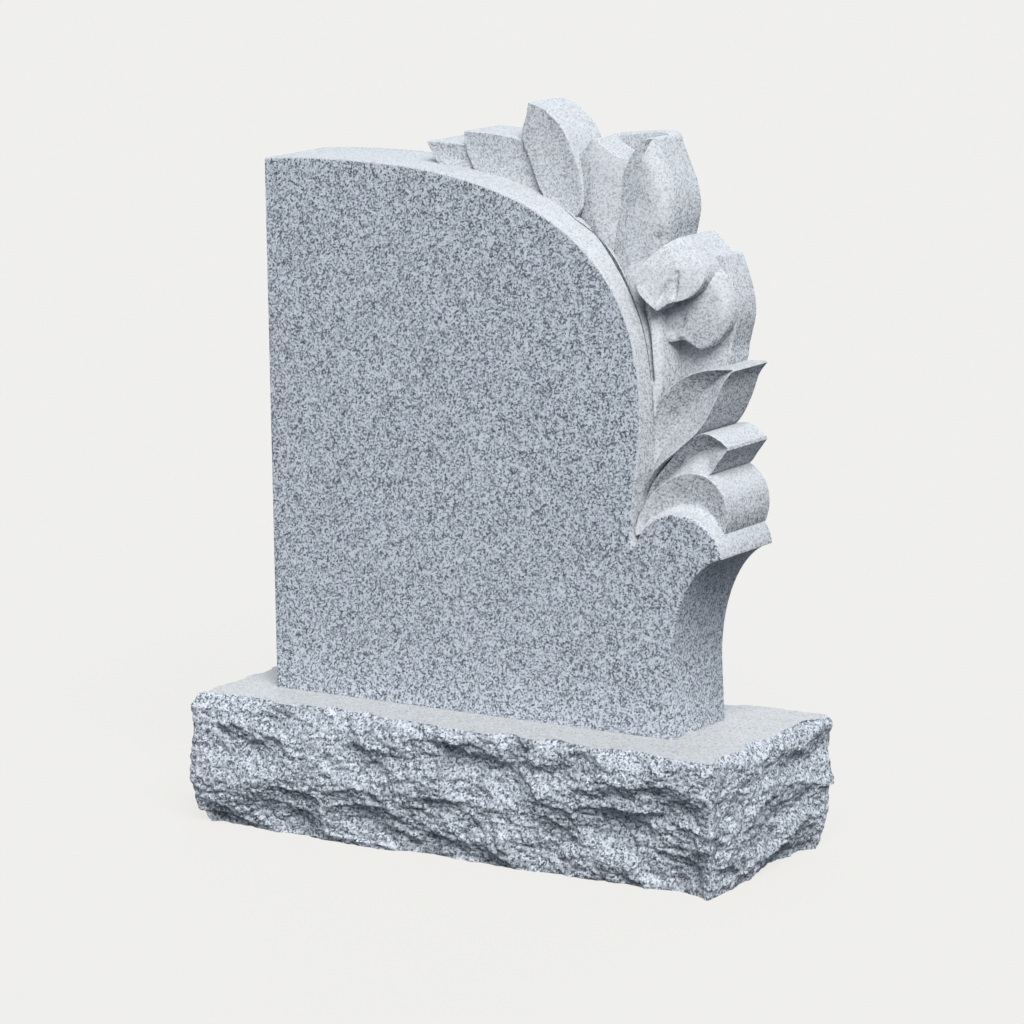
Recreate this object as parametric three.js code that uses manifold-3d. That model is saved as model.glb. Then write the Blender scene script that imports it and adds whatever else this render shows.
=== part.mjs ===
import * as THREE from 'three';
import { mergeVertices } from 'three/addons/utils/BufferGeometryUtils.js';
import Module from 'manifold-3d';

const wasm = await Module();
wasm.setup();

// Sizes in millimetres. X runs along the stone, the carved face looks to -Y and Z is up.
// The origin is the middle of the underside of the base.
const INCH = 25.4;
const BASE_LENGTH = 36 * INCH;
const BASE_DEPTH = 14 * INCH;
const BASE_HEIGHT = 8 * INCH;
const TABLET_THICKNESS = 6 * INCH;
const JOINT_GAP = 0.3;

// Tablet outline, seen from the front.
const FRONT_Y = -TABLET_THICKNESS / 2;
const BACK_Y = TABLET_THICKNESS / 2;
const FOOT_Z = BASE_HEIGHT + JOINT_GAP;
const LEFT_X = -369;
const FOOT_RIGHT_X = 336;
const LEFT_TOP_Z = 1016.5;
const CROWN = { x: -265, z: 660, halfWidth: 551, height: 361, power: 2.6 };
const NECK = { bottomZ: 500, sway: 22, power: 1.3 };
const NOTCH = { x: 270, z: 481 };
const SHOULDER = { x: 346, z: 468, halfWidth: 72, height: 67.5, from: 8, to: 165 };
const SWEEP = { x: 430, z: 300, halfWidth: 98, height: 178, from: 97.6, to: 180 };

// Carved spray. Each leaf grows from its root to its tip; left and right are the points its two
// edges pass through on the way, as (x, z), and rib is how far across from left to right its rib
// lies. Depths are measured back from the front face: at the root, at the tip, and the extra depth
// of the left edge, the rib and the right edge between them.
const LEAVES = [
  {
    name: 'ground', root: [262, 455], tip: [60, 1008], rib: 0.5,
    left: [[240, 640], [230, 780], [150, 890], [80, 958]],
    right: [[310, 540], [332, 622], [336, 735], [328, 765], [298, 870], [215, 960], [120, 1008]],
    depth: { root: 96, tip: 96, left: 0, rib: 0, right: 0 },
  },
  {
    name: 'end leaf', root: [-10, 995], tip: [-110, 1048], rib: 0.5,
    left: [[-50, 998], [-92, 1010], [-103, 1030]],
    right: [[-18, 1036], [-45, 1043], [-85, 1047.5]],
    depth: { root: 86, tip: 50, left: 0, rib: 3, right: 0 },
  },
  {
    name: 'second leaf', root: [75, 965], tip: [-50, 1065], rib: 0.5,
    left: [[20, 975], [-30, 997], [-44, 1020], [-50, 1043]],
    right: [[62, 1036], [40, 1055], [12, 1061], [-20, 1064]],
    depth: { root: 80, tip: 60, left: 2, rib: 3, right: 2 },
  },
  {
    name: 'tall leaf', root: [122, 935], tip: [61, 1112], rib: 0.45,
    left: [[84, 972], [58, 1030], [47, 1062], [56, 1092]],
    right: [[152, 962], [150, 1008], [134, 1050], [118, 1077], [90, 1101]],
    depth: { root: 65, tip: 64, left: 2, rib: 3, right: 0 },
  },
  {
    name: 'centre petal', root: [196, 880], tip: [162, 1063], rib: 0.45,
    left: [[150, 930], [127, 985], [134, 1028], [151, 1048]],
    right: [[213, 930], [223, 975], [227, 1007], [219, 1031], [190, 1048], [174, 1058]],
    depth: { root: 66, tip: 76, left: 6, rib: -8, right: 0 },
  },
  {
    name: 'petal behind the right petal', root: [246, 950], tip: [162, 1063], rib: 0.5,
    left: [[208, 1000], [172, 1040]],
    right: [[280, 1000], [272, 1045], [262, 1069], [212, 1068]],
    depth: { root: 130, tip: 130, left: 0, rib: 0, right: 0 },
  },
  {
    name: 'right petal', root: [258, 795], tip: [265, 1068], rib: 0.5,
    left: [[215, 868], [204, 928], [214, 1000], [233, 1041], [254, 1063]],
    right: [[280, 880], [293, 925], [300, 962], [294, 1000], [277, 1040]],
    depth: { root: 34, tip: 62, left: 20, rib: 9, right: 2 },
  },
  {
    name: 'petal behind the bud', root: [280, 740], tip: [368, 902], rib: 0.45,
    left: [[272, 800], [300, 870], [340, 895]],
    right: [[330, 725], [372, 738], [381, 770], [391, 815], [385, 855]],
    depth: { root: 97, tip: 97, left: 0, rib: 0, right: 0 },
  },
  {
    name: 'front of that petal', root: [284, 772], tip: [360, 886], rib: 0.45,
    left: [[285, 820], [310, 860], [338, 880]],
    right: [
      [303, 775], [318, 778], [331, 773], [344, 766], [357, 770], [369, 778],
      [385, 797], [391, 818], [386, 848], [376, 872],
    ],
    depth: { root: 58, tip: 72, left: 6, rib: -2, right: 12 },
  },
  {
    name: 'stem', root: [290, 664], tip: [274, 858], rib: 0.5,
    left: [[279, 712], [273, 772], [264, 830]],
    right: [[299, 712], [297, 772], [288, 830]],
    depth: { root: 32, tip: 56, left: 0, rib: -8, right: 2 },
  },
  {
    name: 'bud', root: [318, 930], tip: [299, 824], rib: 0.68,
    left: [[332, 920], [346, 906], [361, 889], [365, 872], [356, 854], [339, 842], [318, 836]],
    right: [[302, 919], [287, 905], [273, 887], [267, 868], [273, 851], [286, 836]],
    depth: { root: 66, tip: 26, left: 2, rib: -12, right: -24 },
  },
  {
    name: 'upper side leaf', root: [270, 545], tip: [412, 744], rib: 0.44,
    left: [[272, 610], [280, 664], [309, 708], [334, 729], [368, 741]],
    right: [[283, 574], [300, 598], [334, 627], [364, 656], [383, 690], [396, 724]],
    depth: { root: 22, tip: 52, left: -6, rib: 31, right: -8 },
  },
  {
    name: 'middle side leaf', root: [268, 520], tip: [410, 631], rib: 0.4,
    left: [[284, 568], [318, 612], [350, 643], [372, 651], [394, 643]],
    right: [[287, 548], [318, 578], [352, 591], [378, 591], [394, 610]],
    depth: { root: 26, tip: 36, left: 4, rib: 31, right: 0 },
  },
  {
    name: 'curled side leaf', root: [264, 495], tip: [399, 498], rib: 0.58,
    left: [[275, 532], [300, 567], [340, 592], [378, 592], [405, 568], [412, 540], [408, 515]],
    right: [[300, 505], [345, 512], [380, 505]],
    depth: { root: 14, tip: 34, left: -2, rib: 11, right: -14 },
  },
];
const LEAF_ROWS = 14;
const LEAF_COLUMNS = [-1, -0.88, -0.45, 0, 0.45, 0.88, 1];
const LEAF_RIM = { start: 0.88, drop: 5 };
const LEAF_SWELL_POWER = 0.9;
const LEAF_ENDS = { from: 0.03, to: 0.985 };
const LEAF_OVERRUN = 10;

// Rock-faced sides of the base: how far the stone is broken back from its full size.
const CORNER_RADIUS = 12;
const SIDE_STEP = 24;
const CORNER_STEPS = 3;
const ROCK_LEVELS = [0, 0.05, 0.17, 0.31, 0.45, 0.59, 0.73, 0.85, 0.94, 1];
const ROCK_WAVES = [
  { size: [120, 110, 60], depth: 22 },
  { size: [64, 60, 36], depth: 9 },
];
const TOP_ARRIS = { height: 0.93, depth: 4 };
const BOTTOM_TUCK = { height: 0.08, depth: 4 };

const granite = new THREE.MeshStandardMaterial({ color: 0xb4bac4, roughness: 0.72, metalness: 0 });
granite.name = 'granite';

function toManifold(geometry) {
  const bare = geometry.clone();
  bare.deleteAttribute('normal');
  bare.deleteAttribute('uv');
  const welded = mergeVertices(bare, 1e-4);
  const vertProperties = new Float32Array(welded.attributes.position.array);
  const triVerts = new Uint32Array(welded.index.array);
  return new wasm.Manifold(new wasm.Mesh({ numProp: 3, vertProperties, triVerts }));
}

function toGeometry(solid) {
  const mesh = solid.getMesh();
  const geometry = new THREE.BufferGeometry();
  geometry.setAttribute('position', new THREE.BufferAttribute(new Float32Array(mesh.vertProperties), 3));
  geometry.setIndex(new THREE.BufferAttribute(new Uint32Array(mesh.triVerts), 1));
  geometry.computeVertexNormals();
  return geometry;
}

function indexedGeometry(positions, indices) {
  const geometry = new THREE.BufferGeometry();
  geometry.setAttribute('position', new THREE.Float32BufferAttribute(positions, 3));
  geometry.setIndex(indices);
  return geometry;
}

// Outline of the slab: straight left side and foot, swept-in right side, rounded shoulder, and the
// long fall of the crown down to the notch above the shoulder.
function slabShape() {
  const degrees = THREE.MathUtils.degToRad;
  const shape = new THREE.Shape();
  shape.moveTo(LEFT_X, FOOT_Z);
  shape.lineTo(FOOT_RIGHT_X, FOOT_Z);
  shape.absellipse(
    SWEEP.x, SWEEP.z, SWEEP.halfWidth, SWEEP.height, degrees(SWEEP.to), degrees(SWEEP.from), true,
  );
  shape.absellipse(
    SHOULDER.x, SHOULDER.z, SHOULDER.halfWidth, SHOULDER.height,
    degrees(SHOULDER.from), degrees(SHOULDER.to), false,
  );
  shape.lineTo(NOTCH.x, NOTCH.z);

  const neckSteps = 8;
  const neckHeight = CROWN.z - NECK.bottomZ;
  for (let step = 0; step < neckSteps; step += 1) {
    const fall = 1 - step / neckSteps;
    const x = CROWN.x + CROWN.halfWidth - NECK.sway * fall ** NECK.power;
    shape.lineTo(x, CROWN.z - neckHeight * fall);
  }
  const crownSteps = 36;
  for (let step = 0; step <= crownSteps; step += 1) {
    const angle = (step / crownSteps) * Math.PI / 2;
    const x = CROWN.x + CROWN.halfWidth * Math.max(Math.cos(angle), 0) ** (2 / CROWN.power);
    const z = CROWN.z + CROWN.height * Math.sin(angle) ** (2 / CROWN.power);
    shape.lineTo(x, z);
  }
  const crownTop = CROWN.z + CROWN.height;
  const leftSteps = 4;
  for (let step = 1; step <= leftSteps; step += 1) {
    const reach = step / leftSteps;
    shape.lineTo(CROWN.x + (LEFT_X - CROWN.x) * reach, crownTop - (crownTop - LEFT_TOP_Z) * reach ** 2);
  }
  return shape;
}

function slabSolid() {
  const geometry = new THREE.ExtrudeGeometry(slabShape(), {
    depth: TABLET_THICKNESS, bevelEnabled: false, curveSegments: 16,
  });
  geometry.rotateX(Math.PI / 2);
  geometry.translate(0, BACK_Y, 0);
  return toManifold(geometry);
}

function leafEdge(leaf, through) {
  const points = [leaf.root, ...through, leaf.tip].map(([x, z]) => new THREE.Vector2(x, z));
  return new THREE.SplineCurve(points);
}

function leafDepth(depth, along, across) {
  const swell = (4 * along * (1 - along)) ** LEAF_SWELL_POWER;
  const edge = across < 0 ? depth.left : depth.right;
  const reach = Math.abs(across);
  const rim = LEAF_RIM.drop * Math.max(0, (reach - LEAF_RIM.start) / (1 - LEAF_RIM.start));
  const slope = depth.root + (depth.tip - depth.root) * along;
  return slope + swell * (depth.rib + (edge - depth.rib) * reach) + rim;
}

// A leaf is a lofted front with sides that run straight back through the stone.
function leafSolid(leaf) {
  const leftEdge = leafEdge(leaf, leaf.left);
  const rightEdge = leafEdge(leaf, leaf.right);
  const columns = LEAF_COLUMNS.length;
  const positions = [];
  const indices = [];
  for (let row = 0; row <= LEAF_ROWS; row += 1) {
    const along = LEAF_ENDS.from + (LEAF_ENDS.to - LEAF_ENDS.from) * (row / LEAF_ROWS);
    const left = leftEdge.getPointAt(along);
    const right = rightEdge.getPointAt(along);
    for (const across of LEAF_COLUMNS) {
      const share = across < 0 ? leaf.rib * (1 + across) : leaf.rib + (1 - leaf.rib) * across;
      const spot = left.clone().lerp(right, share);
      positions.push(spot.x, FRONT_Y + leafDepth(leaf.depth, along, across), spot.y);
    }
  }
  const at = (row, column) => row * columns + column;
  for (let row = 0; row < LEAF_ROWS; row += 1) {
    for (let column = 0; column + 1 < columns; column += 1) {
      indices.push(at(row, column), at(row, column + 1), at(row + 1, column + 1));
      indices.push(at(row, column), at(row + 1, column + 1), at(row + 1, column));
    }
  }

  const rim = [];
  for (let column = 0; column < columns; column += 1) rim.push(at(0, column));
  for (let row = 1; row <= LEAF_ROWS; row += 1) rim.push(at(row, columns - 1));
  for (let column = columns - 2; column >= 0; column -= 1) rim.push(at(LEAF_ROWS, column));
  for (let row = LEAF_ROWS - 1; row > 0; row -= 1) rim.push(at(row, 0));

  const firstBack = positions.length / 3;
  const outline = rim.map((vertex) => new THREE.Vector2(positions[vertex * 3], positions[vertex * 3 + 2]));
  for (const spot of outline) positions.push(spot.x, BACK_Y + LEAF_OVERRUN, spot.y);
  rim.forEach((vertex, place) => {
    const next = (place + 1) % rim.length;
    indices.push(vertex, firstBack + place, firstBack + next);
    indices.push(vertex, firstBack + next, rim[next]);
  });
  for (const [a, b, c] of THREE.ShapeUtils.triangulateShape(outline, [])) {
    indices.push(firstBack + a, firstBack + c, firstBack + b);
  }
  return toManifold(indexedGeometry(positions, indices));
}

function backTrim() {
  const span = 4000;
  const geometry = new THREE.BoxGeometry(span, span, span);
  geometry.translate(0, BACK_Y - span / 2, 0);
  return toManifold(geometry);
}

function tabletMesh() {
  let solid = slabSolid();
  for (const leaf of LEAVES) solid = solid.add(leafSolid(leaf));
  solid = solid.intersect(backTrim());
  const mesh = new THREE.Mesh(toGeometry(solid), granite);
  mesh.name = 'tablet';
  return mesh;
}

// Smooth value noise over the lattice points of space, from 0 to 1.
function latticeValue(i, j, k) {
  const mixed = Math.sin(i * 127.1 + j * 311.7 + k * 74.7) * 43758.5453;
  return mixed - Math.floor(mixed);
}

function smoothNoise(x, y, z) {
  const cell = [Math.floor(x), Math.floor(y), Math.floor(z)];
  const ease = [x - cell[0], y - cell[1], z - cell[2]].map((part) => part * part * (3 - 2 * part));
  let total = 0;
  for (let corner = 0; corner < 8; corner += 1) {
    const step = [corner & 1, (corner >> 1) & 1, (corner >> 2) & 1];
    let weight = 1;
    for (let axis = 0; axis < 3; axis += 1) weight *= step[axis] ? ease[axis] : 1 - ease[axis];
    total += weight * latticeValue(cell[0] + step[0], cell[1] + step[1], cell[2] + step[2]);
  }
  return total;
}

// Depth broken off the base at a spot of its plain outline; level runs from 0 at the foot to 1 at the top.
function rockDepth(x, y, level) {
  let depth = 0;
  for (const wave of ROCK_WAVES) {
    const [sizeX, sizeY, sizeZ] = wave.size;
    depth += wave.depth * smoothNoise(x / sizeX, y / sizeY, (level * BASE_HEIGHT) / sizeZ);
  }
  depth += TOP_ARRIS.depth * Math.max(0, (level - TOP_ARRIS.height) / (1 - TOP_ARRIS.height));
  depth += BOTTOM_TUCK.depth * Math.max(0, 1 - level / BOTTOM_TUCK.height);
  return depth;
}

// Plain rounded outline of the base: spots, each with the way it moves as its side is broken back.
function baseOutline() {
  const halfX = BASE_LENGTH / 2;
  const halfY = BASE_DEPTH / 2;
  const corners = [
    { side: [1, -1], turn: -Math.PI / 2, next: [0, 1] },
    { side: [1, 1], turn: 0, next: [-1, 0] },
    { side: [-1, 1], turn: Math.PI / 2, next: [0, -1] },
    { side: [-1, -1], turn: Math.PI, next: [1, 0] },
  ];
  const outline = [];
  for (const { side, turn, next } of corners) {
    const centreX = side[0] * (halfX - CORNER_RADIUS);
    const centreY = side[1] * (halfY - CORNER_RADIUS);
    const inward = [-side[0], -side[1]];
    for (let step = 0; step <= CORNER_STEPS; step += 1) {
      const angle = turn + (step / CORNER_STEPS) * Math.PI / 2;
      const x = centreX + CORNER_RADIUS * Math.cos(angle);
      const y = centreY + CORNER_RADIUS * Math.sin(angle);
      outline.push({ x, y, inward });
    }
    const start = outline[outline.length - 1];
    const run = 2 * (next[0] === 0 ? halfY : halfX) - 2 * CORNER_RADIUS;
    const steps = Math.round(run / SIDE_STEP);
    for (let step = 1; step < steps; step += 1) {
      const reach = run * (step / steps);
      const sideways = [-next[1], next[0]];
      outline.push({ x: start.x + next[0] * reach, y: start.y + next[1] * reach, inward: sideways });
    }
  }
  return outline;
}

// Stretches one coordinate of a list of positions so that it spans exactly the given size about zero.
function fitAxis(positions, axis, size) {
  let low = Infinity;
  let high = -Infinity;
  for (let place = axis; place < positions.length; place += 3) {
    low = Math.min(low, positions[place]);
    high = Math.max(high, positions[place]);
  }
  for (let place = axis; place < positions.length; place += 3) {
    positions[place] = (positions[place] - (low + high) / 2) * (size / (high - low));
  }
}

function baseMesh() {
  const outline = baseOutline();
  const around = outline.length;
  const positions = [];
  const indices = [];
  for (const level of ROCK_LEVELS) {
    for (const spot of outline) {
      const depth = rockDepth(spot.x, spot.y, level);
      const [inX, inY] = spot.inward;
      positions.push(spot.x + inX * depth, spot.y + inY * depth, level * BASE_HEIGHT);
    }
  }
  fitAxis(positions, 0, BASE_LENGTH);
  fitAxis(positions, 1, BASE_DEPTH);
  for (let ring = 0; ring + 1 < ROCK_LEVELS.length; ring += 1) {
    for (let place = 0; place < around; place += 1) {
      const next = (place + 1) % around;
      const low = ring * around;
      const high = low + around;
      indices.push(low + place, low + next, high + next);
      indices.push(low + place, high + next, high + place);
    }
  }
  const topRing = (ROCK_LEVELS.length - 1) * around;
  const ringOutline = (first) => outline.map(
    (spot, place) => new THREE.Vector2(positions[(first + place) * 3], positions[(first + place) * 3 + 1]),
  );
  for (const [a, b, c] of THREE.ShapeUtils.triangulateShape(ringOutline(topRing), [])) {
    indices.push(topRing + a, topRing + b, topRing + c);
  }
  for (const [a, b, c] of THREE.ShapeUtils.triangulateShape(ringOutline(0), [])) {
    indices.push(a, c, b);
  }
  const geometry = indexedGeometry(positions, indices);
  geometry.computeVertexNormals();
  const mesh = new THREE.Mesh(geometry, granite);
  mesh.name = 'base';
  return mesh;
}

const headstone = new THREE.Group();
headstone.name = 'headstone';
headstone.add(baseMesh(), tabletMesh());

export default headstone;
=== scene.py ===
import itertools
import math

import bmesh
import bpy
import numpy as np
from mathutils import Matrix, Vector


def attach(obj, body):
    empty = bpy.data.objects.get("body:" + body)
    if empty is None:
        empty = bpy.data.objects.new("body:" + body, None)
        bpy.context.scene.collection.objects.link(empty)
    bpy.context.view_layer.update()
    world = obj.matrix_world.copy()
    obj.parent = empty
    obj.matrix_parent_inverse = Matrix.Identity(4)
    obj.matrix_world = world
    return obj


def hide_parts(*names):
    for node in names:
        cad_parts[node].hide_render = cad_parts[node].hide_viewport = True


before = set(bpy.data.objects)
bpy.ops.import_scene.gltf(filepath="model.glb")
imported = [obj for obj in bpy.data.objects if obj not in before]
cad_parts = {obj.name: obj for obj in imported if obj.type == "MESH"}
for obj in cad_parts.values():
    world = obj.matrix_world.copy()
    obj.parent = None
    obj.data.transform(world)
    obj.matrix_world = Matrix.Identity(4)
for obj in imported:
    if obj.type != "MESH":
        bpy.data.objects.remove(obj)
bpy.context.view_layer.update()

# Sizes in millimetres, as cut; the meshes are scaled to metres when they are made.
# X runs along the stone, the carved face looks to -Y and Z is up.
MM = 0.001
INCH = 25.4
BASE_LENGTH = 36 * INCH
BASE_DEPTH = 14 * INCH
BASE_HEIGHT = 8 * INCH
TABLET_THICKNESS = 6 * INCH
JOINT_GAP = 0.3
FOOT_OVERRUN = 10

# Tablet outline, seen from the front.
FRONT_Y = -TABLET_THICKNESS / 2
BACK_Y = TABLET_THICKNESS / 2
FOOT_Z = BASE_HEIGHT + JOINT_GAP
LEFT_X = -369
FOOT_RIGHT_X = 336
LEFT_TOP_Z = 1016.5
CROWN = {"x": -265, "z": 660, "half_width": 551, "height": 361, "power": 2.6}
NECK = {"bottom_z": 500, "sway": 22, "power": 1.3}
NOTCH = (270, 481)
SHOULDER = {"x": 346, "z": 468, "half_width": 72, "height": 67.5, "from": 8, "to": 165}
SWEEP = {"x": 430, "z": 300, "half_width": 98, "height": 178, "from": 97.6, "to": 180}
SWEEP_STEPS = 40
SHOULDER_STEPS = 60
NECK_STEPS = 24
CROWN_STEPS = 120
LEFT_STEPS = 12
POINT_GAP = 0.05
ARRIS_WIDTH = 2.4
ARRIS_SEGMENTS = 2
ARRIS_ANGLE = 60
SHARP_ANGLE = 28
TRIM_REACH = 2000

# Carved spray. Each leaf grows from its root to its tip; left and right are the points its two
# edges pass through on the way, as (x, z), and rib is how far across from left to right its rib
# lies. Depths are measured back from the front face: at the root, at the tip, and the extra depth
# of the left edge, the rib and the right edge between them.
LEAVES = [
    {
        "name": "ground", "root": (262, 455), "tip": (60, 1008), "rib": 0.5,
        "left": [(240, 640), (230, 780), (150, 890), (80, 958)],
        "right": [(310, 540), (332, 622), (336, 735), (328, 765), (298, 870), (215, 960), (120, 1008)],
        "depth": {"root": 96, "tip": 96, "left": 0, "rib": 0, "right": 0},
    },
    {
        "name": "end leaf", "root": (-10, 995), "tip": (-110, 1048), "rib": 0.5,
        "left": [(-50, 998), (-92, 1010), (-103, 1030)],
        "right": [(-18, 1036), (-45, 1043), (-85, 1047.5)],
        "depth": {"root": 86, "tip": 50, "left": 0, "rib": 3, "right": 0},
    },
    {
        "name": "second leaf", "root": (75, 965), "tip": (-50, 1065), "rib": 0.5,
        "left": [(20, 975), (-30, 997), (-44, 1020), (-50, 1043)],
        "right": [(62, 1036), (40, 1055), (12, 1061), (-20, 1064)],
        "depth": {"root": 80, "tip": 60, "left": 2, "rib": 3, "right": 2},
    },
    {
        "name": "tall leaf", "root": (122, 935), "tip": (61, 1112), "rib": 0.45,
        "left": [(84, 972), (58, 1030), (47, 1062), (56, 1092)],
        "right": [(152, 962), (150, 1008), (134, 1050), (118, 1077), (90, 1101)],
        "depth": {"root": 65, "tip": 64, "left": 2, "rib": 3, "right": 0},
    },
    {
        "name": "centre petal", "root": (196, 880), "tip": (162, 1063), "rib": 0.45,
        "left": [(150, 930), (127, 985), (134, 1028), (151, 1048)],
        "right": [(213, 930), (223, 975), (227, 1007), (219, 1031), (190, 1048), (174, 1058)],
        "depth": {"root": 66, "tip": 76, "left": 6, "rib": -8, "right": 0},
    },
    {
        "name": "petal behind the right petal", "root": (246, 950), "tip": (162, 1063), "rib": 0.5,
        "left": [(208, 1000), (172, 1040)],
        "right": [(280, 1000), (272, 1045), (262, 1069), (212, 1068)],
        "depth": {"root": 130, "tip": 130, "left": 0, "rib": 0, "right": 0},
    },
    {
        "name": "right petal", "root": (258, 795), "tip": (265, 1068), "rib": 0.5,
        "left": [(215, 868), (204, 928), (214, 1000), (233, 1041), (254, 1063)],
        "right": [(280, 880), (293, 925), (300, 962), (294, 1000), (277, 1040)],
        "depth": {"root": 34, "tip": 62, "left": 20, "rib": 9, "right": 2},
    },
    {
        "name": "petal behind the bud", "root": (280, 740), "tip": (368, 902), "rib": 0.45,
        "left": [(272, 800), (300, 870), (340, 895)],
        "right": [(330, 725), (372, 738), (381, 770), (391, 815), (385, 855)],
        "depth": {"root": 97, "tip": 97, "left": 0, "rib": 0, "right": 0},
    },
    {
        "name": "front of that petal", "root": (284, 772), "tip": (360, 886), "rib": 0.45,
        "left": [(285, 820), (310, 860), (338, 880)],
        "right": [
            (303, 775), (318, 778), (331, 773), (344, 766), (357, 770), (369, 778),
            (385, 797), (391, 818), (386, 848), (376, 872),
        ],
        "depth": {"root": 58, "tip": 72, "left": 6, "rib": -2, "right": 12},
    },
    {
        "name": "stem", "root": (290, 664), "tip": (274, 858), "rib": 0.5,
        "left": [(279, 712), (273, 772), (264, 830)],
        "right": [(299, 712), (297, 772), (288, 830)],
        "depth": {"root": 32, "tip": 56, "left": 0, "rib": -8, "right": 2},
    },
    {
        "name": "bud", "root": (318, 930), "tip": (299, 824), "rib": 0.68,
        "left": [(332, 920), (346, 906), (361, 889), (365, 872), (356, 854), (339, 842), (318, 836)],
        "right": [(302, 919), (287, 905), (273, 887), (267, 868), (273, 851), (286, 836)],
        "depth": {"root": 66, "tip": 26, "left": 2, "rib": -12, "right": -24},
    },
    {
        "name": "upper side leaf", "root": (270, 545), "tip": (412, 744), "rib": 0.44,
        "left": [(272, 610), (280, 664), (309, 708), (334, 729), (368, 741)],
        "right": [(283, 574), (300, 598), (334, 627), (364, 656), (383, 690), (396, 724)],
        "depth": {"root": 22, "tip": 52, "left": -6, "rib": 31, "right": -8},
    },
    {
        "name": "middle side leaf", "root": (268, 520), "tip": (410, 631), "rib": 0.4,
        "left": [(284, 568), (318, 612), (350, 643), (372, 651), (394, 643)],
        "right": [(287, 548), (318, 578), (352, 591), (378, 591), (394, 610)],
        "depth": {"root": 26, "tip": 36, "left": 4, "rib": 31, "right": 0},
    },
    {
        "name": "curled side leaf", "root": (264, 495), "tip": (399, 498), "rib": 0.58,
        "left": [(275, 532), (300, 567), (340, 592), (378, 592), (405, 568), (412, 540), (408, 515)],
        "right": [(300, 505), (345, 512), (380, 505)],
        "depth": {"root": 14, "tip": 34, "left": -2, "rib": 11, "right": -14},
    },
]
LEAF_ENDS = (0.03, 0.985)
LEAF_OVERRUN = 10
LEAF_SWELL_POWER = 0.9
LEAF_CELL = 2.0
FINE_CELLS = {"bud": 1.1, "stem": 1.4}
FEWEST_ROWS = 12
FEWEST_HALF_COLUMNS = 5
MEASURE_STEPS = 40
LEAF_EDGE_RADIUS = 2.8
EDGE_GROWTH = 3
EDGE_ROUNDING = {
    "right petal": {"right": (32, 32)},
    "front of that petal": {"right": (2, 40)},
    "petal behind the right petal": {"right": (LEAF_EDGE_RADIUS, 8)},
}
LEAF_CREASE = 0.05
SOFT_CREASE = 0.35
SOFT_LEAVES = (
    "right petal", "centre petal", "tall leaf", "second leaf", "front of that petal", "petal behind the bud",
)
LEAF_TOOLING = {"size": 22, "depth": 0.9}
CURVE_STEPS = 400

# Groove that parts the crown from the feet of the leaves: at each x of the crown, how far back it
# lies and how wide its cutter is at the top. The cutter reaches from GROOVE_DEPTH below the crown to
# GROOVE_HEIGHT above it, and GROOVE_FLOOR is its share of that width at the bottom.
GROOVE_PATH = [
    (118, 66, 2), (143, 58, 4), (160, 60, 5), (174, 64, 7), (183, 62, 8), (192, 59, 10), (206, 54, 12),
    (224, 48, 12), (235, 45, 10), (244, 42, 8), (252, 40, 7), (260, 39, 5), (268, 38, 4), (284, 34, 2),
]
GROOVE_DEPTH = 9
GROOVE_HEIGHT = 15
GROOVE_FLOOR = 0.5
GROOVE_MARGIN = 1

# Faces of the joined stone narrower than this are slivers.
SLIVER_WIDTH = 0.02

# Folds pressed into the front of a leaf, along the points (x, z) of a line; fade is the share of its
# depth that a fold loses on the way to the line's end, and FOLD_START the share of the line on which
# it sets in.
FOLDS = [
    {"leaf": "bud", "line": [(300, 836), (306, 850), (315, 866)], "width": 4, "depth": 9, "fade": 0.6},
    {"leaf": "bud", "line": [(322, 840), (323, 858), (324, 878)], "width": 4, "depth": 10, "fade": 0.6},
    {
        "leaf": "right petal", "line": [(262, 862), (266, 888), (284, 916)],
        "width": 15, "depth": 10, "fade": 0.4,
    },
    {
        "leaf": "front of that petal", "line": [(322, 822), (316, 801), (306, 790)],
        "width": 7, "depth": 7, "fade": 0,
    },
    {"leaf": "stem", "line": [(257, 830), (276, 775), (285, 722)], "width": 4, "depth": 9, "fade": 0},
]
FOLD_STEPS = 40
FOLD_START = 0.45

# Rock-faced sides of the base: how far the stone is broken back from its full size.
CORNER_RADIUS = 12
CORNER_BLEND = 55
ROCK_CELL = 2.5
ROCK_WAVES = [
    {"size": (120, 110, 60), "depth": 22},
    {"size": (64, 60, 36), "depth": 9},
]
EDGE_CHIPS = {"size": 36, "depth": 20, "slope": 0.8}
EDGE_FIRM = {"height": 45, "share": 0.5}
BOTTOM_TUCK = {"height": 0.5, "depth": 17}
ROCK_DIP = 0.03
ROCK_SCALLOPS = [
    {"size": (110, 110, 60), "depth": 34},
    {"size": (46, 46, 27), "depth": 13},
]
ROCK_CRUMBS = [
    {"size": (17, 17, 12), "depth": 5},
    {"size": (8, 8, 5.5), "depth": 3.2},
]
SCALLOP_UNEVEN = 0.5
SCALLOP_TILT = 1.5
SCALLOP_CURVE = 0.6
LUMP_UNEVEN = 0.5
LUMP_TILT = 1.1
LUMP_LEAN = 0.3
ROCK_UNTOUCHED = 10
ROCK_DROOP = 0.35
ROCK_EDGE = 26
ROCK_PROUD = 8
CORNER_FORM = 0.15
CORNER_CRUMBS = 0.5
ROCK_JITTER = 0.7
JITTER_SEED = 7

# Camera, placed as the photograph was taken.
CAMERA_AZIMUTH = 32.926
CAMERA_ELEVATION = 10.7198
CAMERA_ROLL = -0.8158
CAMERA_DISTANCE = 6.7969
CAMERA_ASIDE = (-0.0058, -0.4878)
SENSOR_WIDTH = 36
IMAGE_WIDTH = 1024
FOCAL_PIXELS = 4500

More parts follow.
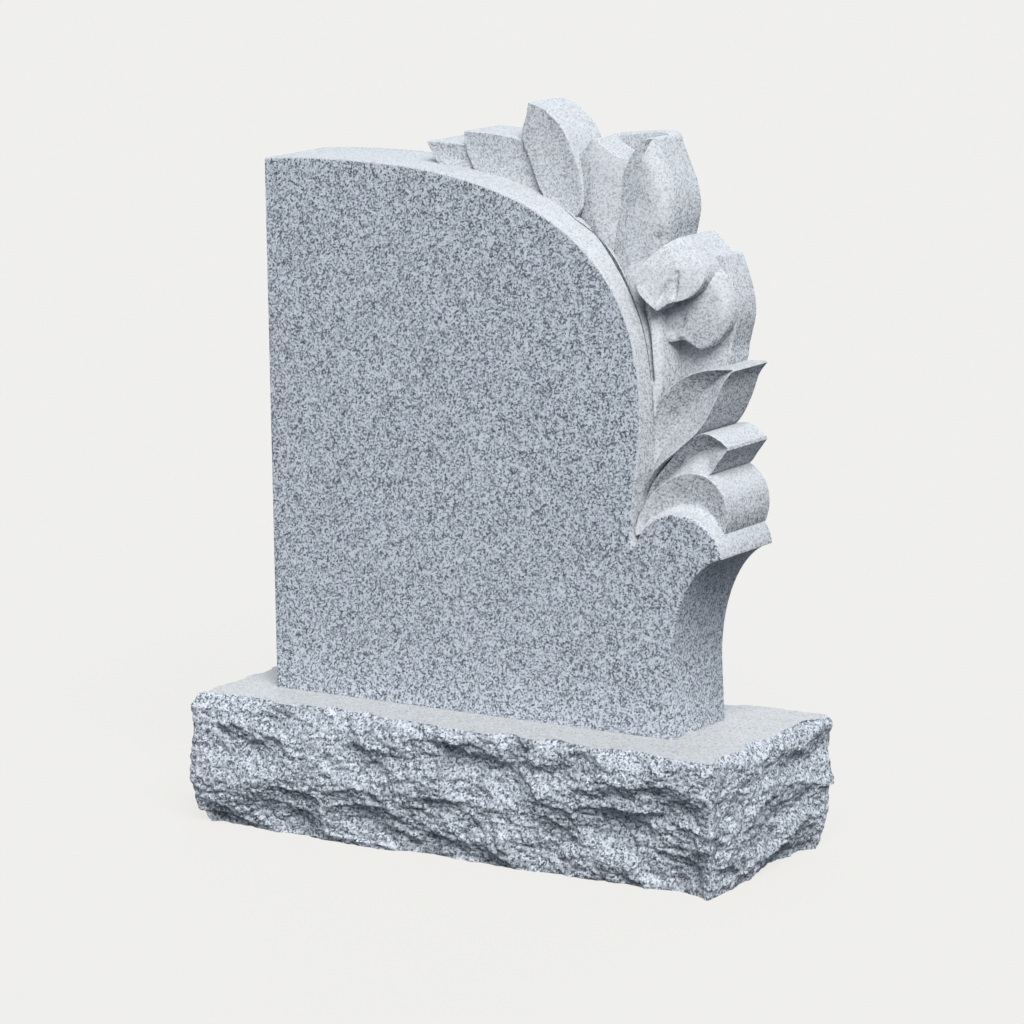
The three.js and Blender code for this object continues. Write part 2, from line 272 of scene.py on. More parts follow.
# Stone colour
COOL_RED = 0.72
DARK_BELOW = 0.3
DARK_COOLING = 1.5
CRYSTAL_TURN = (0.6, 0.4, 0.9)
# Painted light: frosted faces that look towards the key light, along the vector below, are painted in paler,
# less speckled shades; the range below sets how far a face must turn to get them.
PAINTED_LIGHT_SIDE = (0.40, -0.60, 0.69)
PAINTED_LIGHT_RANGE = (0.15, 0.75)
CRYSTAL_SHARE = 0.42
CLUSTER_DETAIL = 2.5
CLUSTER_ROUGHNESS = 0.62
PIT_SIZE = 1.6
PIT_DETAIL = 3
PIT_STRENGTH = 0.6

# Where each finish lies: how near a face is to a plane of the stone, and which way it looks.
FLUSH_GAP = 0.05
FLUSH_FACING = 0.999
SIDE_GAP = 3
SWEEP_GAP = 5
SIDE_FACING = 0.5
SWEEP_RISE = 0.2
SAWN_GAP = 0.5
SAWN_RISE = 0.99

# Sockets of a mix node that blends colours.
MIX_FIRST = 6
MIX_SECOND = 7
MIX_RESULT = 2

# Light: brightness of the sky by height, from straight down at -1 to straight up at 1.
SKY_SHADES = [(-0.03, 0.08), (0.0, 1.0), (0.13, 1.0), (0.3, 0.59)]
SKY_COLOUR = (0.765, 0.865, 1.0, 1)
SUN_COLOUR = (1.0, 0.985, 0.955)
KEY_LIGHT = {"azimuth": 42, "elevation": 45, "spread": 36, "strength": 1.64 * math.pi}
BACK_FILL = {"azimuth": 200, "elevation": 8, "spread": 60, "strength": 0.45 * math.pi}

# Floor, in metres, which glows evenly so that it stays as pale as the photograph's.
FLOOR_REACH = 40
FLOOR_COLOUR = (0.06, 0.06, 0.065, 1)
FLOOR_GLOW = (0.871, 0.863, 0.831, 1)
FLOOR_STRENGTH = 0.88
CLIP_END = 200


def lattice_value(i, j, k):
    """A fixed value from 0 to 1 for each lattice point."""
    mixed = np.sin(i * 127.1 + j * 311.7 + k * 74.7) * 43758.5453
    return mixed - np.floor(mixed)


def smooth_noise(x, y, z):
    """Smooth value noise over the lattice points of space, from 0 to 1."""
    cells = [np.floor(part) for part in (x, y, z)]
    eases = [(part - cell) ** 2 * (3 - 2 * (part - cell)) for part, cell in zip((x, y, z), cells)]
    total = np.zeros_like(x)
    for corner in range(8):
        steps = [corner & 1, (corner >> 1) & 1, (corner >> 2) & 1]
        weight = np.ones_like(x)
        for step, ease in zip(steps, eases):
            weight = weight * (ease if step else 1 - ease)
        total += weight * lattice_value(*(cell + step for cell, step in zip(cells, steps)))
    return total


def make_object(name, vertices, faces):
    mesh = bpy.data.meshes.new(name)
    mesh.from_pydata((np.asarray(vertices) * MM).tolist(), [], faces)
    mesh.update()
    made = bpy.data.objects.new(name, mesh)
    bpy.context.scene.collection.objects.link(made)
    return made


# Tablet

def ellipse_points(ellipse, start, end, steps):
    angles = np.radians(np.linspace(start, end, steps + 1))
    return np.column_stack([
        ellipse["x"] + ellipse["half_width"] * np.cos(angles),
        ellipse["z"] + ellipse["height"] * np.sin(angles),
    ])


def slab_outline():
    """Outline from the front, anticlockwise from the left of the foot, where it runs on below the stone."""
    foot_z = FOOT_Z - FOOT_OVERRUN
    foot = np.array([(LEFT_X, foot_z), (FOOT_RIGHT_X, foot_z)], float)
    sweep = ellipse_points(SWEEP, SWEEP["to"], SWEEP["from"], SWEEP_STEPS)
    shoulder = ellipse_points(SHOULDER, SHOULDER["from"], SHOULDER["to"], SHOULDER_STEPS)
    fall = 1 - np.arange(NECK_STEPS) / NECK_STEPS
    neck = np.column_stack([
        CROWN["x"] + CROWN["half_width"] - NECK["sway"] * fall ** NECK["power"],
        CROWN["z"] - (CROWN["z"] - NECK["bottom_z"]) * fall,
    ])
    angles = np.linspace(0, math.pi / 2, CROWN_STEPS + 1)
    crown = np.column_stack([
        CROWN["x"] + CROWN["half_width"] * np.maximum(np.cos(angles), 0) ** (2 / CROWN["power"]),
        CROWN["z"] + CROWN["height"] * np.sin(angles) ** (2 / CROWN["power"]),
    ])
    crown_top = CROWN["z"] + CROWN["height"]
    reach = np.arange(1, LEFT_STEPS + 1) / LEFT_STEPS
    left = np.column_stack([
        CROWN["x"] + (LEFT_X - CROWN["x"]) * reach,
        crown_top - (crown_top - LEFT_TOP_Z) * reach ** 2,
    ])
    return np.vstack([foot, sweep, shoulder, [NOTCH], neck, crown, left])


def slab_object():
    outline = slab_outline()
    apart = np.linalg.norm(outline - np.roll(outline, 1, axis=0), axis=1)
    outline = outline[apart > POINT_GAP]
    count = len(outline)
    vertices = [(x, FRONT_Y, z) for x, z in outline] + [(x, BACK_Y, z) for x, z in outline]
    faces = [list(range(count)), list(range(2 * count - 1, count - 1, -1))]
    for place in range(count):
        following = (place + 1) % count
        faces.append([following, place, count + place, count + following])
    slab = make_object("slab", vertices, faces)
    bevel = slab.modifiers.new("arris", "BEVEL")
    bevel.width = ARRIS_WIDTH * MM
    bevel.segments = ARRIS_SEGMENTS
    bevel.limit_method = "ANGLE"
    bevel.angle_limit = math.radians(ARRIS_ANGLE)
    bevel.use_clamp_overlap = False
    return slab


def groove_object():
    """Cutter of the groove: a wedge swept down the crown, narrow at the bottom and open above it."""
    outline = slab_outline()
    start, end = GROOVE_PATH[-1][0], GROOVE_PATH[0][0]
    crown = outline[(outline[:, 0] < start) & (outline[:, 0] > end) & (outline[:, 1] > CROWN["z"])]
    along = np.gradient(crown, axis=0)
    out = np.column_stack([along[:, 1], -along[:, 0]]) / np.linalg.norm(along, axis=1)[:, None]
    path_x, path_depth, path_width = zip(*GROOVE_PATH)
    depths = np.interp(crown[:, 0], path_x, path_depth)
    widths = np.interp(crown[:, 0], path_x, path_width)
    corners = [
        (-GROOVE_DEPTH, -GROOVE_FLOOR), (-GROOVE_DEPTH, GROOVE_FLOOR),
        (GROOVE_HEIGHT, 1), (GROOVE_HEIGHT, -1),
    ]
    vertices = []
    for spot, way, depth, width in zip(crown, out, depths, widths):
        for reach, side in corners:
            x, z = spot + way * reach
            vertices.append((x, FRONT_Y + depth + side * width / 2, z))
    count, turns = len(crown), len(corners)
    faces = [list(range(turns)), [(count - 1) * turns + turn for turn in range(turns - 1, -1, -1)]]
    for place, turn in itertools.product(range(count - 1), range(turns)):
        low, following = place * turns, (turn + 1) % turns
        faces.append([low + turn, low + turns + turn, low + turns + following, low + following])
    return make_object("groove", vertices, faces)


def edge_curve(points, shares):
    """Points at the given shares of the length of a smooth curve that passes through the points."""
    points = np.array(points, float)
    spans = len(points) - 1
    place = np.linspace(0, spans, CURVE_STEPS + 1)
    index = np.minimum(place.astype(int), spans - 1)
    part = (place - index)[:, None]
    start, end = points[index], points[index + 1]
    leave = (end - points[np.maximum(index - 1, 0)]) / 2
    arrive = (points[np.minimum(index + 2, spans)] - start) / 2
    curve = (2 * start - 2 * end + leave + arrive) * part ** 3
    curve += (3 * end - 3 * start - 2 * leave - arrive) * part ** 2 + leave * part + start
    lengths = np.concatenate([[0], np.cumsum(np.linalg.norm(np.diff(curve, axis=0), axis=1))])
    wanted = np.asarray(shares) * lengths[-1]
    return np.column_stack([np.interp(wanted, lengths, curve[:, axis]) for axis in (0, 1)])


def fold_depth(x, z, fold):
    """Depth of a fold at each spot: it sets in along its line, and fades to the sides and towards the end."""
    shares = np.linspace(0, 1, FOLD_STEPS + 1)
    depth = np.zeros_like(x)
    for share, (line_x, line_z) in zip(shares, edge_curve(fold["line"], shares)):
        away = np.hypot(x - line_x, z - line_z)
        here = fold["depth"] * (1 - fold["fade"] * share) * min(1, share / FOLD_START)
        depth = np.maximum(depth, here * np.exp(-(away / fold["width"]) ** 2))
    return depth


def edge_radius(leaf, side, along):
    """Rounding of one edge of a leaf, which may grow from its root to its tip."""
    plain = (LEAF_EDGE_RADIUS, LEAF_EDGE_RADIUS)
    at_root, at_tip = EDGE_ROUNDING.get(leaf["name"], {}).get(side, plain)
    return (at_root + (at_tip - at_root) * along ** EDGE_GROWTH)[:, None]


def leaf_front(leaf):
    """Grid of the leaf's carved front, as rows from root to tip and columns from left to right."""
    depth = leaf["depth"]
    sides = [[leaf["root"], *leaf[side], leaf["tip"]] for side in ("left", "right")]
    middle_shares = np.linspace(0, 1, MEASURE_STEPS + 1)
    spans = edge_curve(sides[1], middle_shares) - edge_curve(sides[0], middle_shares)
    length = np.linalg.norm(np.diff(edge_curve(sides[0], middle_shares), axis=0), axis=1).sum()
    widest = np.linalg.norm(spans, axis=1).max()
    cell = FINE_CELLS.get(leaf["name"], LEAF_CELL)
    rows = max(FEWEST_ROWS, round(length / cell))
    half_columns = max(FEWEST_HALF_COLUMNS, round(widest / 2 / cell))

    along = np.linspace(*LEAF_ENDS, rows + 1)
    across = np.sin(np.linspace(-1, 1, 2 * half_columns + 1) * math.pi / 2)
    left, right = (edge_curve(side, along) for side in sides)
    share = np.where(across < 0, leaf["rib"] * (1 + across), leaf["rib"] + (1 - leaf["rib"]) * across)
    spots = left[:, None, :] + (right - left)[:, None, :] * share[None, :, None]

    swell = ((4 * along * (1 - along)) ** LEAF_SWELL_POWER)[:, None]
    edge = np.where(across < 0, depth["left"], depth["right"])[None, :]
    soft = SOFT_CREASE if leaf["name"] in SOFT_LEAVES else LEAF_CREASE
    crease = (np.sqrt(across ** 2 + soft ** 2) - soft) / (math.sqrt(1 + soft ** 2) - soft)
    back = depth["root"] + (depth["tip"] - depth["root"]) * along[:, None]
    back = back + swell * (depth["rib"] + (edge - depth["rib"]) * crease[None, :])

    width = np.linalg.norm(right - left, axis=1)[:, None]
    margin = np.where(across < 0, share, 1 - share)[None, :] * width
    left_radius, right_radius = (edge_radius(leaf, side, along) for side in ("left", "right"))
    radius = np.where(across[None, :] < 0, left_radius, right_radius)
    inside = np.clip(radius - margin, 0, radius)
    back = back + radius - np.sqrt(radius ** 2 - inside ** 2)

    x, z = spots[..., 0], spots[..., 1]
    for fold in FOLDS:
        if fold["leaf"] == leaf["name"]:
            back = back + fold_depth(x, z, fold)
    size = LEAF_TOOLING["size"]
    tooling = smooth_noise(x / size, np.full_like(x, len(leaf["name"])), z / size) - 0.5
    return np.stack([x, FRONT_Y + back + 2 * LEAF_TOOLING["depth"] * tooling, z], axis=-1)


def leaf_object(leaf):
    """The carved front with sides that run straight back through the stone."""
    front = leaf_front(leaf)
    rows, columns = front.shape[:2]
    index = np.arange(rows * columns).reshape(rows, columns)
    faces = []
    for row, column in itertools.product(range(rows - 1), range(columns - 1)):
        low, high = index[row], index[row + 1]
        faces.append([low[column], low[column + 1], high[column + 1], high[column]])
    rim = [*index[0, :], *index[1:, -1], *index[-1, -2::-1], *index[-2:0:-1, 0]]
    vertices = front.reshape(-1, 3)
    behind = vertices[rim].copy()
    behind[:, 1] = BACK_Y + LEAF_OVERRUN
    first = len(vertices)
    count = len(rim)
    for place in range(count):
        following = (place + 1) % count
        faces.append([rim[place], first + place, first + following, rim[following]])
    faces.append([first + place for place in range(count - 1, -1, -1)])
    faces = [[int(vertex) for vertex in face] for face in faces]
    return make_object(leaf["name"], np.vstack([vertices, behind]), faces)


def trim_block():
    """A block with one face on the tablet's back plane and one on its foot, which holds all of the tablet."""
    ranges = [(-TRIM_REACH, TRIM_REACH), (BACK_Y - TRIM_REACH, BACK_Y), (FOOT_Z, FOOT_Z + TRIM_REACH)]
    corners = list(itertools.product(*ranges))
    faces = [(0, 1, 3, 2), (4, 6, 7, 5), (0, 4, 5, 1), (2, 3, 7, 6), (0, 2, 6, 4), (1, 5, 7, 3)]
    return make_object("trim block", corners, faces)


def outward(made):
    """Turns every face of a closed mesh to look out."""
    made.data.update()
    volume = 0.0
    made.data.calc_loop_triangles()
    for triangle in made.data.loop_triangles:
        a, b, c = (made.data.vertices[v].co for v in triangle.vertices)
        volume += a.dot(b.cross(c))
    if volume < 0:
        made.data.flip_normals()


def clear_slivers(mesh):
    """Takes out the faces without width that the joins leave behind."""
    form = bmesh.new()
    form.from_mesh(mesh)
    bmesh.ops.remove_doubles(form, verts=form.verts, dist=SLIVER_WIDTH * MM)
    bmesh.ops.triangulate(form, faces=form.faces)
    bmesh.ops.dissolve_degenerate(form, dist=SLIVER_WIDTH * MM, edges=form.edges)
    bmesh.ops.triangulate(form, faces=form.faces)
    form.to_mesh(mesh)
    form.free()


def tablet_object():
    tablet = slab_object()
    outward(tablet)
    steps = [("DIFFERENCE", groove_object())]
    steps += [("UNION", leaf_object(leaf)) for leaf in LEAVES]
    steps.append(("INTERSECT", trim_block()))
    for operation, helper in steps:
        outward(helper)
        step = tablet.modifiers.new(helper.name, "BOOLEAN")
        step.operation = operation
        step.solver = "MANIFOLD"
        step.object = helper

    depsgraph = bpy.context.evaluated_depsgraph_get()
    carved = bpy.data.meshes.new_from_object(tablet.evaluated_get(depsgraph))
    tablet.modifiers.clear()
    clear_slivers(carved)
    tablet.data = carved
    tablet.name = "carved_tablet"
    for _, helper in steps:
        bpy.data.objects.remove(helper)
    return tablet


# Base

def base_outline():
    """Spots of the plain rounded outline, each with the way it moves as its side is broken back."""
    half_x, half_y = BASE_LENGTH / 2, BASE_DEPTH / 2
    corners = [((1, -1), -90, (0, 1)), ((1, 1), 0, (-1, 0)), ((-1, 1), 90, (0, -1)), ((-1, -1), 180, (1, 0))]
    spots = []
    for side, turn, along in corners:
        centre = np.array([side[0] * (half_x - CORNER_RADIUS), side[1] * (half_y - CORNER_RADIUS)])
        steps = round(CORNER_RADIUS * math.pi / 2 / ROCK_CELL)
        for angle in np.radians(np.linspace(turn, turn + 90, steps + 1)):
            spots.append(centre + CORNER_RADIUS * np.array([math.cos(angle), math.sin(angle)]))
        run = 2 * (half_y if along[0] == 0 else half_x) - 2 * CORNER_RADIUS
        steps = round(run / ROCK_CELL)
        start = spots[-1]
        for step in range(1, steps):
            spots.append(start + np.array(along) * run * step / steps)
    spots = np.array(spots)
    ways = []
    for axis, half in ((0, half_x), (1, half_y)):
        gap = half - np.abs(spots[:, axis])
        ways.append(-np.sign(spots[:, axis]) * np.clip(1 - gap / CORNER_BLEND, 0, 1) ** 2)
    return spots, np.column_stack(ways)


def nearby_cells(x, y, z, size, seed):
    """Each cell around a spot: its own value, and on each axis how far off it is and its tilt."""
    place = [part / length for part, length in zip((x, y, z), size)]
    cells = [np.floor(part) for part in place]
    for steps in itertools.product((-1, 0, 1), repeat=3):
        i, j, k = (cell + step for cell, step in zip(cells, steps))
        axes = []
        for axis, (part, corner) in enumerate(zip(place, (i, j, k))):
            away = part - corner - lattice_value(i + seed, j + 11 * axis, k)
            axes.append((away, lattice_value(i + 3 * axis, j, k + seed) - 0.5))
        yield lattice_value(i, j + seed, k + 5), axes


def rock_lumps(x, y, z, lumps, seed):
    """Broken lumps with crevices between; each has its own tilt, and most lean out towards their foot."""
    shallowest = np.full_like(x, np.inf)
    for own, axes in nearby_cells(x, y, z, lumps["size"], seed):
        height = LUMP_UNEVEN * own
        for axis, (away, tilt) in enumerate(axes):
            height = height + away ** 2 + (LUMP_TILT * tilt + LUMP_LEAN * (axis == 2)) * away
        shallowest = np.minimum(shallowest, height)
    return lumps["depth"] * shallowest


def rock_scallops(x, y, z, scallops, seed):
    """Hollows left where flakes broke off, with sharp ridges between; each has its own tilt."""
    deepest = np.full_like(x, -np.inf)
    for own, axes in nearby_cells(x, y, z, scallops["size"], seed):
        hollow = SCALLOP_UNEVEN * own
        for away, tilt in axes:
            hollow = hollow - SCALLOP_CURVE * away ** 2 + SCALLOP_TILT * tilt * away
        deepest = np.maximum(deepest, hollow)
    return scallops["depth"] * deepest


def rock_form(x, y, z):
    """Depth of the large breaks at a spot of the plain outline of the base."""
    depth = np.zeros_like(x)
    for wave in ROCK_WAVES:
        size_x, size_y, size_z = wave["size"]
        depth += wave["depth"] * smooth_noise(x / size_x, y / size_y, z / size_z)
    for seed, scallops in enumerate(ROCK_SCALLOPS):
        depth += rock_scallops(x, y, z + ROCK_DIP * (x + y), scallops, seed)
    depth -= np.percentile(depth, ROCK_UNTOUCHED)
    return np.maximum(depth, 0)


def rock_crumbs(x, y, z):
    """Depth of the small breaks on top of the large ones."""
    depth = np.zeros_like(x)
    for seed, crumbs in enumerate(ROCK_CRUMBS):
        depth += rock_lumps(x, y, z + ROCK_DIP * (x + y), crumbs, seed + len(ROCK_SCALLOPS))
    return depth


def rock_edges(x, y, z):
    """Depth of the chips along the top edge and of the tuck along the foot."""
    size = EDGE_CHIPS["size"]
    chips = EDGE_CHIPS["depth"] * smooth_noise(x / size, y / size, np.zeros_like(x))
    depth = np.maximum(0, chips - EDGE_CHIPS["slope"] * (BASE_HEIGHT - z))
    return depth + BOTTOM_TUCK["depth"] * np.maximum(0, 1 - z / BASE_HEIGHT / BOTTOM_TUCK["height"]) ** 2


def base_object():
    spots, ways = base_outline()
    around = len(spots)
    heights = np.linspace(0, BASE_HEIGHT, round(BASE_HEIGHT / ROCK_CELL) + 1)
    x = np.tile(spots[:, 0], (len(heights), 1))
    y = np.tile(spots[:, 1], (len(heights), 1))
    z = np.repeat(heights[:, None], around, axis=1)
    draw = np.random.default_rng(JITTER_SEED)
    z[1:-1] += draw.uniform(-ROCK_JITTER, ROCK_JITTER, z[1:-1].shape)
    below_top = np.clip((BASE_HEIGHT - z) / EDGE_FIRM["height"], 0, 1)
    form = rock_form(x, y, z) * (EDGE_FIRM["share"] + (1 - EDGE_FIRM["share"]) * below_top)
    corner = np.abs(ways).prod(axis=1)
    form = form * (1 - (1 - CORNER_FORM) * corner) + rock_edges(x, y, z)
    depth = form + rock_crumbs(x, y, z) * (1 - (1 - CORNER_CRUMBS) * corner)
    inner = np.clip(np.minimum(z, BASE_HEIGHT - z) / ROCK_EDGE, 0, 1)
    z = z + ROCK_DROOP * inner * (form - form.mean())
    x = x + ways[:, 0] * depth
    y = y + ways[:, 1] * depth
    x = (x - (x.min() + x.max()) / 2) * (BASE_LENGTH + 2 * ROCK_PROUD) / (x.max() - x.min())
    y = (y - (y.min() + y.max()) / 2) * (BASE_DEPTH + 2 * ROCK_PROUD) / (y.max() - y.min())
    vertices = np.stack([x, y, z], axis=-1).reshape(-1, 3)
    index = np.arange(len(vertices)).reshape(len(heights), around)
    following = np.roll(index, -1, axis=1)
    walls = np.stack([index[:-1], following[:-1], following[1:], index[1:]], axis=-1).reshape(-1, 4)
    faces = walls.tolist()
    faces.append(index[-1].tolist())
    faces.append(index[0, ::-1].tolist())
    return make_object("rock_base", vertices, faces)


# Granite

def new_material(name):
    material = bpy.data.materials.new(name)
    material.use_nodes = True
    tree = material.node_tree
    tree.nodes.clear()
    output = tree.nodes.new("ShaderNodeOutputMaterial")
    shader = tree.nodes.new("ShaderNodeBsdfPrincipled")
    tree.links.new(shader.outputs["BSDF"], output.inputs["Surface"])
    return material, tree, shader


def add_ramp(tree, source, stops):
    ramp = tree.nodes.new("ShaderNodeValToRGB")
    elements = ramp.color_ramp.elements
    while len(elements) < len(stops):
        elements.new(0.5)
    for element, (position, colour) in zip(elements, stops):
        element.position = position
        element.color = (*colour, 1)
    tree.links.new(source, ramp.inputs["Fac"])
    return ramp.outputs["Color"]


def grey(value, coolness):
    """Linear colour of the stone at a given brightness; its dark crystals are the coolest."""
    cool = coolness * (1 + DARK_COOLING * max(0, 1 - value / DARK_BELOW))
    return value * (1 - COOL_RED * cool), value, value * (1 + cool)


def painted_light_share(tree):
    """How far a spot's face looks towards the key light, from 0 to 1: the share of painted light it gets."""
    facing = tree.nodes.new("ShaderNodeVectorMath")
    facing.operation = "DOT_PRODUCT"
    facing.inputs[1].default_value = PAINTED_LIGHT_SIDE
    tree.links.new(tree.nodes.new("ShaderNodeTexCoord").outputs["Normal"], facing.inputs[0])
    share = tree.nodes.new("ShaderNodeMapRange")
    share.inputs["From Min"].default_value, share.inputs["From Max"].default_value = PAINTED_LIGHT_RANGE
    tree.links.new(facing.outputs["Value"], share.inputs["Value"])
    return share.outputs["Result"]


def granite(name, shades, coolness, grain_size, roughness, bump_depth, painted_lit_shades=None):
    """Granite of crystals about grain_size across, shaded from dark mica to pale feldspar.

    Where painted lit shades are given, the faces that look towards the key light are painted with those
    instead: painted light, paler and less speckled than the shaded faces.
    """
    material, tree, shader = new_material(name)
    turn = tree.nodes.new("ShaderNodeMapping")
    turn.inputs["Rotation"].default_value = CRYSTAL_TURN
    tree.links.new(tree.nodes.new("ShaderNodeTexCoord").outputs["Object"], turn.inputs["Vector"])
    place = turn.outputs["Vector"]
    clusters = tree.nodes.new("ShaderNodeTexNoise")
    clusters.inputs["Scale"].default_value = 1 / (grain_size * MM)
    clusters.inputs["Detail"].default_value = CLUSTER_DETAIL
    clusters.inputs["Roughness"].default_value = CLUSTER_ROUGHNESS
    tree.links.new(place, clusters.inputs["Vector"])
    crystals = tree.nodes.new("ShaderNodeTexVoronoi")
    crystals.inputs["Scale"].default_value = 1 / (grain_size * MM)
    tree.links.new(place, crystals.inputs["Vector"])
    split = tree.nodes.new("ShaderNodeSeparateColor")
    tree.links.new(crystals.outputs["Color"], split.inputs["Color"])
    mixed = tree.nodes.new("ShaderNodeMix")
    mixed.inputs["Factor"].default_value = CRYSTAL_SHARE
    tree.links.new(clusters.outputs["Fac"], mixed.inputs["A"])
    tree.links.new(split.outputs["Red"], mixed.inputs["B"])
    colour = shader.inputs["Base Color"]
    # Painted light: the faces turned to the key light are painted in the paler shades, and the rest in the
    # plain ones.
    if painted_lit_shades:
        blend = tree.nodes.new("ShaderNodeMix")
        blend.data_type = "RGBA"
        tree.links.new(painted_light_share(tree), blend.inputs["Factor"])
        painted_lit_stops = [(position, grey(value, coolness)) for position, value in painted_lit_shades]
        tree.links.new(add_ramp(tree, mixed.outputs["Result"], painted_lit_stops), blend.inputs[MIX_SECOND])
        tree.links.new(blend.outputs[MIX_RESULT], colour)
        colour = blend.inputs[MIX_FIRST]
    stops = [(position, grey(value, coolness)) for position, value in shades]
    tree.links.new(add_ramp(tree, mixed.outputs["Result"], stops), colour)
    shader.inputs["Roughness"].default_value = roughness

    pits = tree.nodes.new("ShaderNodeTexNoise")
    pits.inputs["Scale"].default_value = 1 / (PIT_SIZE * MM)
    pits.inputs["Detail"].default_value = PIT_DETAIL
    tree.links.new(place, pits.inputs["Vector"])
    bump = tree.nodes.new("ShaderNodeBump")
    bump.inputs["Strength"].default_value = PIT_STRENGTH
    bump.inputs["Distance"].default_value = bump_depth * MM
    tree.links.new(pits.outputs["Fac"], bump.inputs["Height"])
    tree.links.new(bump.outputs["Normal"], shader.inputs["Normal"])
    return material


HONED = granite(
    "granite_honed", shades=[(0.30, 0.05), (0.42, 0.22), (0.52, 0.38), (0.66, 0.52)],
    coolness=0.10, grain_size=2.5, roughness=0.5, bump_depth=0.15,
)
# Frosted granite, with painted light: its faces turned to the key light take the paler, less speckled shades.
FROSTED = granite(
    "granite_frosted", shades=[(0.30, 0.12), (0.42, 0.33), (0.52, 0.47), (0.68, 0.62)],
    coolness=0.06, grain_size=2.4, roughness=0.85, bump_depth=0.5,
    painted_lit_shades=[(0.28, 0.285), (0.42, 0.385), (0.56, 0.435), (0.72, 0.475)],
)
# Painted shade: near-black granite laid on the faces inside the groove, where shade falls.
GROOVE_SHADE = granite(
    "granite_groove_shade", shades=[(0.30, 0.04), (0.42, 0.09), (0.52, 0.14), (0.66, 0.19)],
    coolness=0.10, grain_size=2.4, roughness=0.9, bump_depth=0.3,
)
BROKEN = granite(
    "granite_broken", shades=[(0.30, 0.06), (0.42, 0.22), (0.52, 0.36), (0.66, 0.48)],
    coolness=0.10, grain_size=2.8, roughness=0.8, bump_depth=0.9,
)
SAWN = granite(
    "granite_sawn", shades=[(0.24, 0.20), (0.40, 0.36), (0.52, 0.40), (0.70, 0.44)],
    coolness=0.035, grain_size=2.4, roughness=0.8, bump_depth=0.3,
)


def paint(made, materials, choose):
    """Gives each face the material that choose picks for its middle, in millimetres, and its normal."""
    made.data.materials.clear()
    for material in materials:
        made.data.materials.append(material)
    for face in made.data.polygons:
        face.material_index = materials.index(choose(face.center / MM, face.normal))


def in_groove_shade(middle):
    """True inside the band of the groove and below the surface of the crown, where the groove's shade is
    painted.
    """
    path_x, path_depth, path_width = zip(*GROOVE_PATH)
    if not path_x[0] < middle.x < path_x[-1] or middle.z < CROWN["z"]:
        return False
    off = abs(middle.y - FRONT_Y - np.interp(middle.x, path_x, path_depth))
    if off > np.interp(middle.x, path_x, path_width) / 2 + GROOVE_MARGIN:
        return False
    reach = max(0, (middle.x - CROWN["x"]) / CROWN["half_width"])
    surface = CROWN["z"] + CROWN["height"] * (1 - reach ** CROWN["power"]) ** (1 / CROWN["power"])
    return middle.z < surface - GROOVE_MARGIN


def is_flush(middle, normal):
    """True on the tablet's flat front and back."""
    gap = min(abs(middle.y - FRONT_Y), abs(middle.y - BACK_Y))
    return gap < FLUSH_GAP and abs(normal.y) > FLUSH_FACING


def tablet_finish(middle, normal):
    if is_flush(middle, normal):
        return HONED
    if middle.x < LEFT_X + SIDE_GAP:
        return HONED
    lower_side = middle.z < SHOULDER["z"] and abs(normal.y) < SIDE_FACING
    if lower_side and normal.z < SWEEP_RISE and middle.x > FOOT_RIGHT_X - SWEEP_GAP:
        return HONED
    on_arris = middle.y < FRONT_Y + ARRIS_WIDTH
    if on_arris and middle.z < SHOULDER["z"] + SHOULDER["height"]:
        return HONED
    # Painted shade inside the groove; frosted granite elsewhere.
    return GROOVE_SHADE if in_groove_shade(middle) else FROSTED


def base_finish(middle, normal):
    return SAWN if normal.z > SAWN_RISE and middle.z > BASE_HEIGHT - SAWN_GAP else BROKEN


tablet = tablet_object()
paint(tablet, [HONED, FROSTED, GROOVE_SHADE], tablet_finish)
tablet.data.shade_smooth()
tablet.data.set_sharp_from_angle(angle=math.radians(SHARP_ANGLE))
for face in tablet.data.polygons:
    face.use_smooth = not is_flush(face.center / MM, face.normal)
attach(tablet, "root")
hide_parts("tablet")

base = base_object()
outward(base)
paint(base, [BROKEN, SAWN], base_finish)
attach(base, "root")
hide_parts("base")


# Stage: pale floor, soft light and the photograph's camera

def pale_floor():
    mesh = bpy.data.meshes.new("floor")
    corners = [(x * FLOOR_REACH, y * FLOOR_REACH, 0) for x, y in ((-1, -1), (1, -1), (1, 1), (-1, 1))]
    mesh.from_pydata(corners, [], [(0, 1, 2, 3)])
    floor = bpy.data.objects.new("floor", mesh)
    bpy.context.scene.collection.objects.link(floor)
    material, _, shader = new_material("paper")
    shader.inputs["Base Color"].default_value = FLOOR_COLOUR
    shader.inputs["Roughness"].default_value = 1
    shader.inputs["Specular IOR Level"].default_value = 0
    shader.inputs["Emission Color"].default_value = FLOOR_GLOW
    shader.inputs["Emission Strength"].default_value = FLOOR_STRENGTH
    floor.data.materials.append(material)
    floor.visible_diffuse = False
    floor.visible_glossy = False


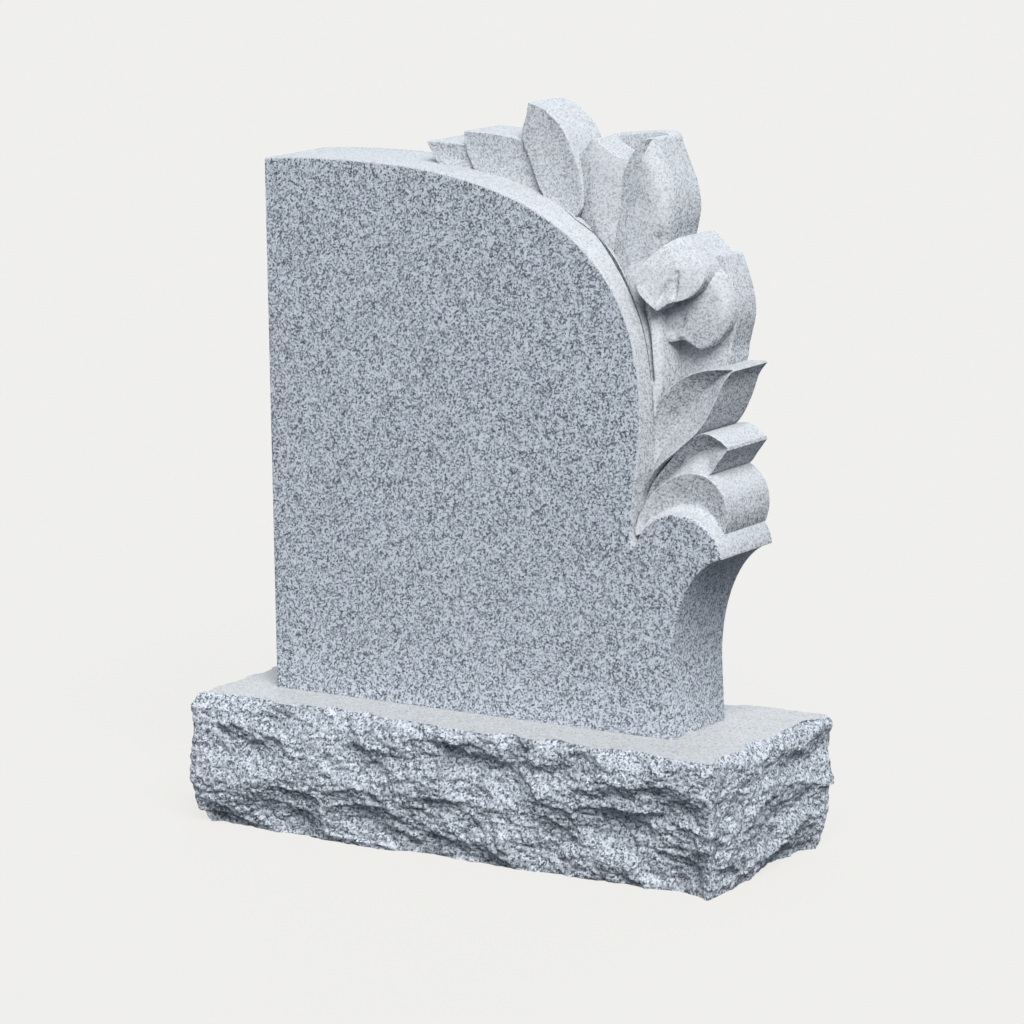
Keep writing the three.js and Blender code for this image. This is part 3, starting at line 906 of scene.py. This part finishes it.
def soft_sky():
    world = bpy.data.worlds.new("studio")
    bpy.context.scene.world = world
    world.use_nodes = True
    tree = world.node_tree
    tree.nodes.clear()
    place = tree.nodes.new("ShaderNodeTexCoord").outputs["Generated"]
    split = tree.nodes.new("ShaderNodeSeparateXYZ")
    tree.links.new(place, split.inputs["Vector"])
    rise = tree.nodes.new("ShaderNodeMath")
    rise.operation = "MULTIPLY_ADD"
    rise.inputs[1].default_value = 0.5
    rise.inputs[2].default_value = 0.5
    tree.links.new(split.outputs["Z"], rise.inputs[0])
    stops = [((height + 1) / 2, (brightness,) * 3) for height, brightness in SKY_SHADES]
    strength = add_ramp(tree, rise.outputs["Value"], stops)
    sky = tree.nodes.new("ShaderNodeBackground")
    sky.inputs["Color"].default_value = SKY_COLOUR
    tree.links.new(strength, sky.inputs["Strength"])
    output = tree.nodes.new("ShaderNodeOutputWorld")
    tree.links.new(sky.outputs["Background"], output.inputs["Surface"])


def sun(name, light):
    data = bpy.data.lights.new(name, "SUN")
    data.energy = light["strength"]
    data.color = SUN_COLOUR
    data.angle = math.radians(light["spread"])
    lamp = bpy.data.objects.new(name, data)
    bpy.context.scene.collection.objects.link(lamp)
    turn, rise = math.radians(light["azimuth"]), math.radians(light["elevation"])
    towards = Vector((math.sin(turn) * math.cos(rise), -math.cos(turn) * math.cos(rise), math.sin(rise)))
    lamp.rotation_mode = "QUATERNION"
    lamp.rotation_quaternion = towards.to_track_quat("Z", "Y")


def photo_camera():
    azimuth, elevation, roll = (
        math.radians(angle) for angle in (CAMERA_AZIMUTH, CAMERA_ELEVATION, CAMERA_ROLL)
    )
    level_back = Vector((math.sin(azimuth), -math.cos(azimuth), 0))
    back = level_back * math.cos(elevation) + Vector((0, 0, math.sin(elevation)))
    level = (-back).cross(Vector((0, 0, 1))).normalized()
    upright = level.cross(-back)
    right = level * math.cos(roll) + upright * math.sin(roll)
    up = upright * math.cos(roll) - level * math.sin(roll)
    data = bpy.data.cameras.new("camera")
    data.sensor_width = SENSOR_WIDTH
    data.lens = SENSOR_WIDTH * FOCAL_PIXELS / IMAGE_WIDTH
    data.clip_end = CLIP_END
    camera = bpy.data.objects.new("camera", data)
    bpy.context.scene.collection.objects.link(camera)
    turned = Matrix((right, up, back)).transposed().to_4x4()
    spot = back * CAMERA_DISTANCE - right * CAMERA_ASIDE[0] - up * CAMERA_ASIDE[1]
    camera.matrix_world = Matrix.Translation(spot) @ turned
    bpy.context.scene.camera = camera


pale_floor()
soft_sky()
sun("key", KEY_LIGHT)
sun("back fill", BACK_FILL)
photo_camera()
bpy.context.scene.view_settings.view_transform = "Standard"
